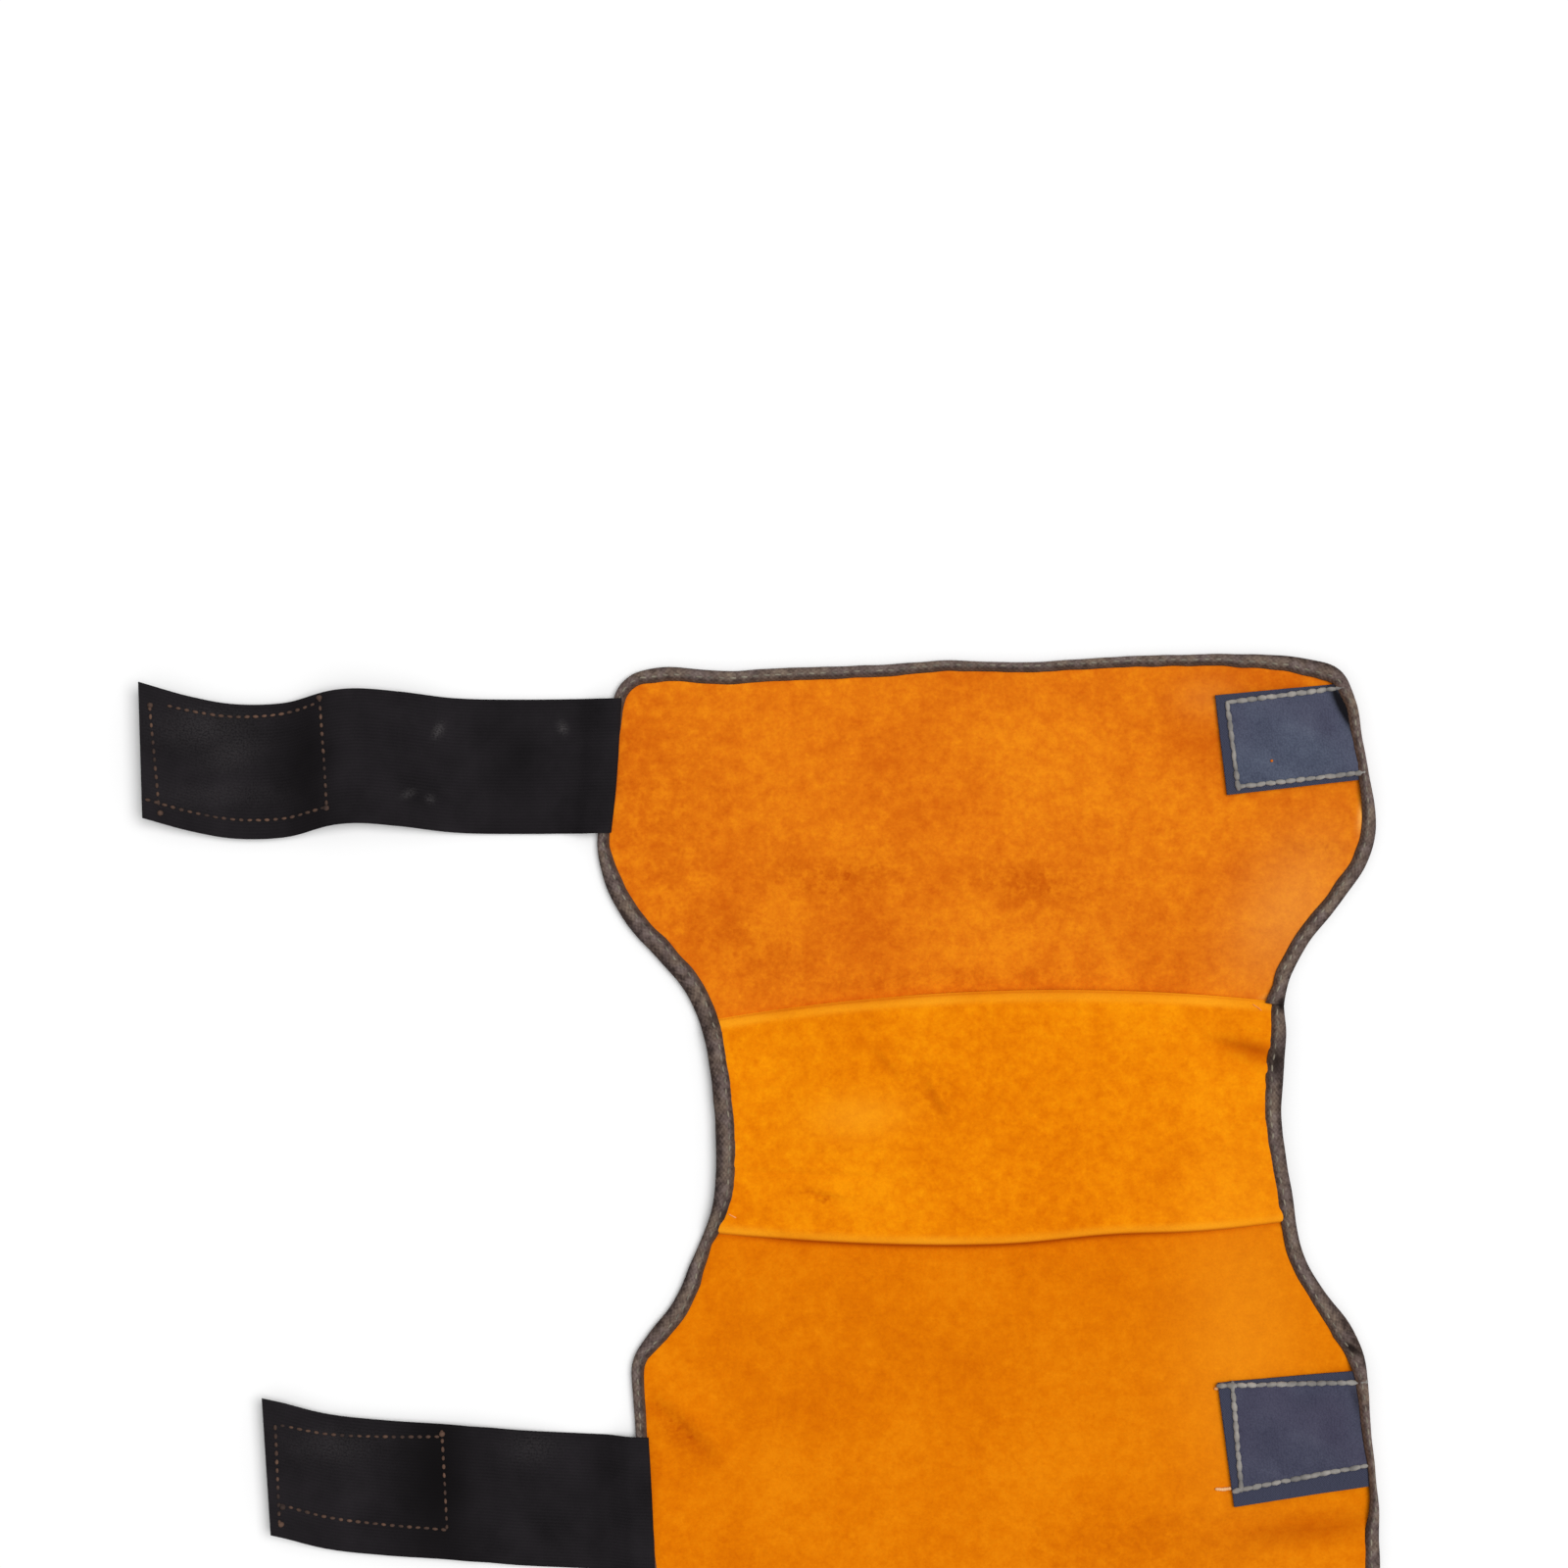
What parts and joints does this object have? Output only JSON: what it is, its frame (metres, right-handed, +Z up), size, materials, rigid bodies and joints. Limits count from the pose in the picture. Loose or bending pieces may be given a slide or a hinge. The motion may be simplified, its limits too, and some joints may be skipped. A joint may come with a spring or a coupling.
{
  "type": "welding leg cover",
  "caption": "Suede leg cover for welding, with thigh, puffed knee and shin panels, taped edges, and elastic straps that close on loop patches.",
  "frame": {"origin": "the middle of the footprint, straps included, on the surface that the cover lies on", "axes": "+X towards the edge with the loop patches, +Y towards the thigh hem, +Z up out of the suede's outer face"},
  "size_m": [0.4602, 0.5735, 0.0096],
  "materials": {
    "thigh_suede": "split suede, orange, matt and mottled",
    "knee_suede": "split suede, yellow orange, matt",
    "shin_suede": "split suede, orange, matt",
    "binding_tape": "woven tape, grey brown",
    "elastic": "woven elastic, black",
    "hook_tape": "hook tape, black",
    "loop_tape": "loop tape, slate blue, fuzzy"
  },
  "bodies": {
    "root": {"thigh_panel": "thigh_suede", "knee_panel": "knee_suede", "shin_panel": "shin_suede", "thigh_binding": "binding_tape", "shin_binding": "binding_tape", "knee_binding_left": "binding_tape", "knee_binding_right": "binding_tape", "upper_strap": "elastic", "lower_strap": "elastic", "upper_hook_patch": "hook_tape", "lower_hook_patch": "hook_tape", "upper_loop_patch": "loop_tape", "lower_loop_patch": "loop_tape"}
  },
  "joints": []
}
